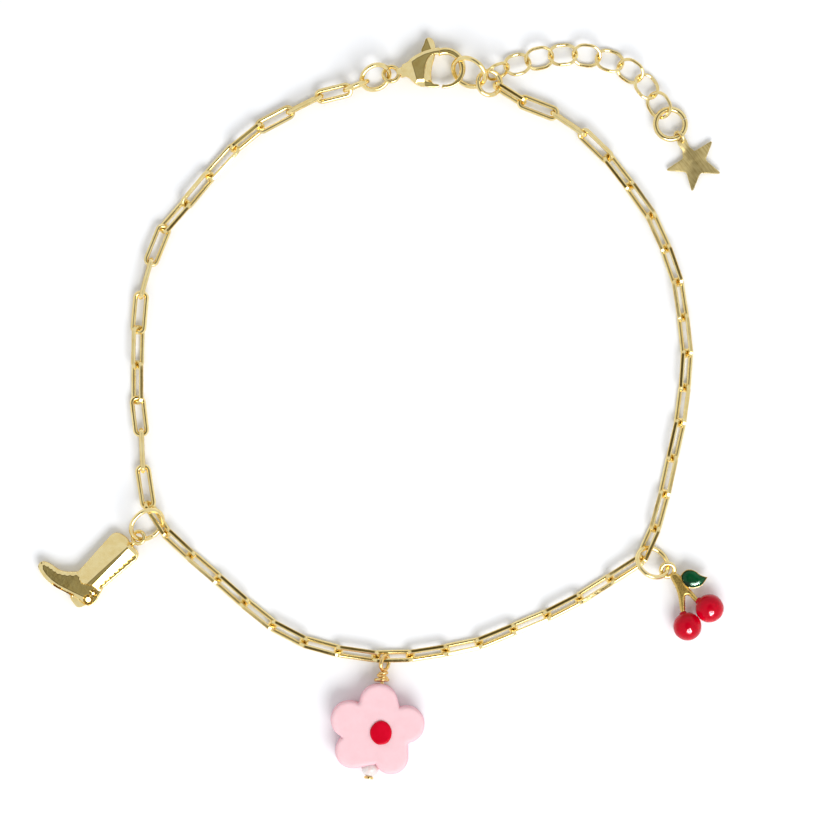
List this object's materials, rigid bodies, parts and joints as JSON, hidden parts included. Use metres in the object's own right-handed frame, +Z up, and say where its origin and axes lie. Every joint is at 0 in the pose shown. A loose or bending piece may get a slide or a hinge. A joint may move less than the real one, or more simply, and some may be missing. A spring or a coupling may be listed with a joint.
{
  "type": "charm anklet",
  "caption": "Gold paperclip chain anklet closed by a lobster clasp, with an extension chain, a star, and boot, flower and cherry charms.",
  "frame": {"origin": "centre of the bounding box at the surface the anklet lies on", "axes": "+Z up out of the surface the anklet lies on, +Y from the flower towards the clasp"},
  "size_m": [0.0876, 0.0948, 0.0039],
  "materials": {
    "gold": "polished gold plate",
    "brushed_gold": "brushed gold plate",
    "pink_clay": "matt baked polymer clay",
    "red_paint": "glossy thick paint",
    "red_enamel": "glossy enamel",
    "green_enamel": "glossy translucent enamel",
    "pearl": "satin pearl"
  },
  "bodies": {
    "anklet": {"chain_clasp_to_boot": "gold", "chain_boot_to_flower": "gold", "chain_flower_to_cherry": "gold", "chain_cherry_to_end_ring": "gold", "extension_chain": "gold", "link_ring": "gold", "clasp_ring": "gold", "catch_ring": "gold", "end_ring": "gold", "star_ring": "gold", "boot_ring": "gold", "cherry_ring": "gold", "clasp_body": "gold", "star": "brushed_gold", "boot": "gold", "flower": "pink_clay", "flower_dot": "red_paint", "head_pin": "gold", "pearl": "pearl", "cherry_left": "red_enamel", "cherry_right": "red_enamel", "cherry_stem": "gold", "leaf_enamel": "green_enamel"},
    "lever": {"clasp_lever": "gold"}
  },
  "joints": [
    {"name": "lever_pivot", "type": "hinge", "parent": "anklet", "child": "lever", "pos_m": [0.00475, 0.04219, 0.0013], "axis": [0, 0, 1], "range_deg": [0, 22], "stiffness_Nm_per_rad": 0.00005}
  ]
}
